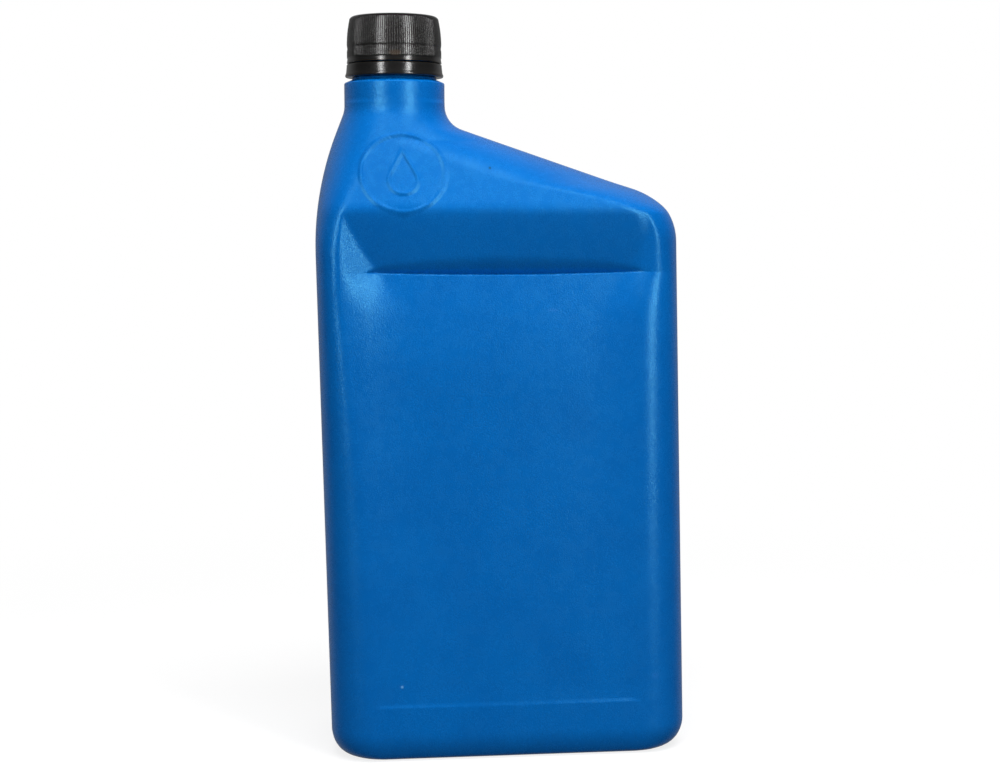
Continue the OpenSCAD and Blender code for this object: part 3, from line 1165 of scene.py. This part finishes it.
def settled_dust() -> bpy.types.NodeTree:
    """Sparse fine dust, thicker where the surface faces up, as a mask.

    Returns:
        The group, which puts out the mask.
    """
    group, g = new_group("Settled dust", {"Amount": 1.0}, ("Mask",))
    source, out = g.add("NodeGroupInput"), g.add("NodeGroupOutput")
    place = g.add("ShaderNodeTexCoord").outputs["Object"]
    normal = g.add("ShaderNodeNewGeometry").outputs["Normal"]
    parts = g.add("ShaderNodeSeparateXYZ")
    g.join(normal, parts.inputs[0])
    up = g.spread(parts.outputs["Z"], 0.0, 0.9, 0.25, 1.0)
    specks = g.spread(g.noise(place, 1500, 1), 0.70, 0.76)
    g.join(g.math("MULTIPLY", g.math("MULTIPLY", specks, up), source.outputs["Amount"]), out.inputs["Mask"])
    return group


@dataclass(frozen=True)
class Spot:
    """A small mark at one place on a piece, in millimetres."""

    x: float
    y: float
    z: float
    radius: float
    stretch: tuple[float, float, float]
    colour: tuple[float, float, float]
    strength: float

    def paint(self, g: Graph, place: object, colour: object) -> object:
        """Paints the mark over a colour.

        Args:
            g: the material's graph.
            place: object coordinates.
            colour: the colour socket beneath.

        Returns:
            The new colour socket.
        """
        shifted = g.vector("SUBTRACT", place, (self.x * MM, self.y * MM, self.z * MM))
        length = g.vector("LENGTH", g.vector("MULTIPLY", shifted, self.stretch))
        mask = g.spread(length, self.radius * MM * 0.6, self.radius * MM, self.strength, 0.0)
        return g.blend(mask, colour, (*self.colour, 1))


@dataclass(frozen=True)
class PlasticFinish:
    """A moulded plastic with grain, handling marks, dust and its own small marks."""

    name: str
    base: tuple[float, float, float]
    shade: tuple[float, float, float]
    scuff: tuple[float, float, float]
    dust: tuple[float, float, float]
    roughness: float
    gloss_range: float
    specular: float
    tint: tuple[float, float, float]
    bump: float
    fineness: float
    marks: float
    dusty: float
    spots: tuple[Spot, ...] = ()

    def make(self, groups: dict[str, bpy.types.NodeTree]) -> bpy.types.Material:
        """Builds the material.

        Args:
            groups: the shared effects by name.

        Returns:
            The material.
        """
        material = bpy.data.materials.new(self.name)
        material.use_nodes = True
        g = Graph(material.node_tree)
        shader = material.node_tree.nodes["Principled BSDF"]
        shader.inputs["Specular IOR Level"].default_value = self.specular
        shader.inputs["Specular Tint"].default_value = (*self.tint, 1)
        shader.inputs["Metallic"].default_value = 0.0
        placed = {}
        for key, value in (("grain", self.fineness), ("marks", self.marks), ("dust", self.dusty)):
            node = g.add("ShaderNodeGroup", node_tree=groups[key])
            node.inputs[0].default_value = value
            placed[key] = node
        grain = placed["grain"]
        colour = g.blend(g.spread(grain.outputs["Shade"], 0.35, 0.65), (*self.base, 1), (*self.shade, 1))
        colour = g.blend(placed["marks"].outputs["Mask"], colour, (*self.scuff, 1))
        colour = g.blend(placed["dust"].outputs["Mask"], colour, (*self.dust, 1))
        place = g.add("ShaderNodeTexCoord").outputs["Object"]
        for spot in self.spots:
            colour = spot.paint(g, place, colour)
        g.join(colour, shader.inputs["Base Color"])
        least, most = self.roughness - self.gloss_range, self.roughness + self.gloss_range
        rough = g.spread(grain.outputs["Gloss"], 0.3, 0.7, least, most)
        rough = g.math("ADD", rough, g.math("MULTIPLY", placed["marks"].outputs["Mask"], SCUFF_ROUGHNESS))
        g.join(rough, shader.inputs["Roughness"])
        bump = g.add("ShaderNodeBump")
        bump.inputs["Strength"].default_value = self.bump
        bump.inputs["Distance"].default_value = GRAIN_DEPTH
        g.join(grain.outputs["Height"], bump.inputs["Height"])
        g.join(bump.outputs[0], shader.inputs["Normal"])
        return material


BLUE = PlasticFinish(
    name="Blown blue polyethylene",
    base=(0.0, 0.104, 0.390),
    shade=(0.0, 0.112, 0.412),
    scuff=(0.01, 0.15, 0.48),
    dust=(0.04, 0.19, 0.52),
    roughness=0.27,
    gloss_range=0.05,
    specular=1.0,
    tint=(0.20, 0.75, 1.0),
    bump=0.35,
    fineness=1.0,
    marks=0.30,
    dusty=0.22,
    spots=(
        Spot(-4.77, -22, 185.99, 0.50, (1, 0.02, 1), (0.0, 0.012, 0.06), 0.9),
        Spot(-33.34, -27.5, 24.41, 0.5, (1, 0.02, 1), (0.18, 0.42, 0.75), 0.8),
        Spot(14.49, -26.5, 142.12, 2.2, (1, 0.02, 4.0), (0.02, 0.15, 0.48), 0.5),
        Spot(47.21, -28, 25.58, 1.4, (1, 0.02, 1), (0.01, 0.13, 0.46), 0.5),
    ),
)
BLACK = PlasticFinish(
    name="Moulded black polypropylene",
    base=(0.0080, 0.0078, 0.0076),
    shade=(0.0105, 0.0102, 0.0100),
    scuff=(0.04, 0.04, 0.042),
    dust=(0.10, 0.095, 0.09),
    roughness=0.17,
    gloss_range=0.03,
    specular=1.0,
    tint=(1.0, 1.0, 1.0),
    bump=0.12,
    fineness=1.3,
    marks=0.16,
    dusty=0.12,
    spots=(Spot(-33.38, -15, 221.7, 2.3, (1, 0.02, 2.2), (0.050, 0.030, 0.015), 0.55),),
)
FOAM = PlasticFinish(
    name="White closed-cell foam",
    base=(0.74, 0.74, 0.70),
    shade=(0.68, 0.68, 0.64),
    scuff=(0.60, 0.60, 0.56),
    dust=(0.55, 0.54, 0.50),
    roughness=0.8,
    gloss_range=0.08,
    specular=0.2,
    tint=(1.0, 1.0, 1.0),
    bump=0.6,
    fineness=0.6,
    marks=0.2,
    dusty=0.2,
)


@dataclass(frozen=True)
class Lamp:
    """A soft lamp that faces the bottle, placed in degrees and metres."""

    name: str
    azimuth: float
    elevation: float
    distance: float
    size: tuple[float, float]
    watts: float
    gleams: bool

    def hang(self, aim: Vector, yaw: float) -> None:
        """Adds the lamp to the scene; it stays out of the highlights where gleams is False.

        Args:
            aim: the point that it faces, in metres.
            yaw: the camera's turn in degrees, from which the azimuth counts to the right.
        """
        data = bpy.data.lights.new(self.name, "AREA")
        data.shape = "RECTANGLE"
        data.size, data.size_y = self.size
        data.energy = self.watts
        lamp = link_object(self.name, data)
        lamp.visible_glossy = self.gleams
        flat, up = math.radians(self.azimuth - yaw), math.radians(self.elevation)
        way = Vector((math.sin(flat) * math.cos(up), -math.cos(flat) * math.cos(up), math.sin(up)))
        facing = way.to_track_quat("Z", "Y").to_matrix().to_4x4()
        lamp.matrix_world = Matrix.Translation(aim + way * self.distance) @ facing


LAMPS = (
    Lamp("Left softbox", -31, 20, 1.04, (0.12, 0.8), 3.4, True),
    Lamp("Right softbox", 37, 17, 1.04, (0.12, 0.88), 4.4, True),
    Lamp("Top light", 18, 68, 0.66, (0.6, 0.25), 6.2, False),
)


@dataclass
class Studio:
    """Camera, lamps, world and floor."""

    camera_at: tuple[float, float, float] = (-58.6, -556.86, 173.0)
    yaw: float = 6.08
    pitch: float = 5.79
    roll: float = 0.11
    lens: float = 62.064
    sensor_w: float = 36.0
    aim: tuple[float, float, float] = (0.0, 0.0, 120.0)
    backdrop: tuple[float, float] = (0.0, 0.8)
    backdrop_gloss: tuple[float, float] = (0.1, 0.8)
    room: tuple[float, float] = (0.12, 0.8)
    room_gloss: tuple[float, float] = (0.02, 0.26)
    floor_half: float = 3.0
    floor_white: float = 0.20
    floor_glow: float = 0.80
    floor_fade: tuple[float, float] = (0.12, 0.42)

    def camera(self) -> None:
        """Stands the camera where the photograph was taken."""
        data = bpy.data.cameras.new("Camera")
        data.lens = self.lens
        data.sensor_width = self.sensor_w
        data.sensor_fit = "HORIZONTAL"
        data.clip_start = 0.01
        data.clip_end = 50
        camera = link_object("Camera", data)
        turn = Matrix.Rotation(math.radians(-self.yaw), 4, "Z")
        tip = Matrix.Rotation(math.radians(90 - self.pitch), 4, "X")
        roll = Matrix.Rotation(math.radians(-self.roll), 4, "Z")
        camera.matrix_world = Matrix.Translation(Vector(self.camera_at) * MM) @ turn @ tip @ roll
        bpy.context.scene.camera = camera

    def world(self) -> None:
        """A white surround to the camera, and to the object a dim room with a white backdrop."""
        world = bpy.data.worlds.new("Studio")
        bpy.context.scene.world = world
        world.use_nodes = True
        g = Graph(world.node_tree)
        world.node_tree.nodes.clear()
        path = g.add("ShaderNodeLightPath")
        way = g.add("ShaderNodeSeparateXYZ")
        g.join(g.add("ShaderNodeTexCoord").outputs["Generated"], way.inputs[0])
        dim, gloss = g.add("ShaderNodeBackground", _0=WHITE), g.add("ShaderNodeBackground", _0=WHITE)
        g.join(g.spread(way.outputs["Y"], *self.backdrop, *self.room), dim.inputs[1])
        g.join(g.spread(way.outputs["Y"], *self.backdrop_gloss, *self.room_gloss), gloss.inputs[1])
        white = g.add("ShaderNodeBackground", _0=WHITE, _1=1.0)
        lit = g.mix_shader(path.outputs["Is Glossy Ray"], dim.outputs[0], gloss.outputs[0])
        seen = g.mix_shader(path.outputs["Is Camera Ray"], lit, white.outputs[0])
        g.join(seen, g.add("ShaderNodeOutputWorld").inputs[0])

    def floor(self) -> None:
        """A plain white floor that fades into the white surround."""
        mesh = bpy.data.meshes.new("Floor")
        r = self.floor_half
        mesh.from_pydata([(-r, -r, 0), (r, -r, 0), (r, r, 0), (-r, r, 0)], [], [(0, 1, 2, 3)])
        plane = link_object("Floor", mesh)
        plane.visible_glossy = False
        material = bpy.data.materials.new("White floor")
        material.use_nodes = True
        g = Graph(material.node_tree)
        material.node_tree.nodes.clear()
        path = g.add("ShaderNodeLightPath")
        place = g.add("ShaderNodeTexCoord").outputs["Object"]
        far = g.spread(g.vector("LENGTH", place), *self.floor_fade)
        matt = g.add("ShaderNodeBsdfDiffuse", _0=(self.floor_white,) * 3 + (1,))
        glow = g.add("ShaderNodeEmission", _0=WHITE)
        g.join(g.math("MULTIPLY", path.outputs["Is Camera Ray"], self.floor_glow), glow.inputs[1])
        near = g.add("ShaderNodeAddShader")
        g.join(matt.outputs[0], near.inputs[0])
        g.join(glow.outputs[0], near.inputs[1])
        white = g.add("ShaderNodeEmission", _0=WHITE, _1=1.0)
        share = g.math("MULTIPLY", far, path.outputs["Is Camera Ray"])
        mixed = g.mix_shader(share, near.outputs[0], white.outputs[0])
        g.join(mixed, g.add("ShaderNodeOutputMaterial").inputs[0])
        mesh.materials.append(material)

    def build(self) -> None:
        """Sets up the whole studio."""
        self.camera()
        for lamp in LAMPS:
            lamp.hang(Vector(self.aim) * MM, self.yaw)
        self.world()
        self.floor()
        bpy.context.scene.view_settings.view_transform = "Standard"


def main() -> None:
    """Builds the bottle, its closure and the studio."""
    logging.basicConfig(level=logging.INFO, format="%(message)s")
    groups = {"grain": moulded_grain(), "marks": handling_marks(), "dust": settled_dust()}
    blue, black, foam = (finish.make(groups) for finish in (BLUE, BLACK, FOAM))
    shell = BottleShell()
    shell.build().data.materials.append(blue)
    closure = Closure(shell.neck)
    closure.build_band().data.materials.append(black)
    closure.build_cap().data.materials.append(black)
    closure.build_liner().data.materials.append(foam)
    Studio().build()


if __name__ == "__main__":
    main()
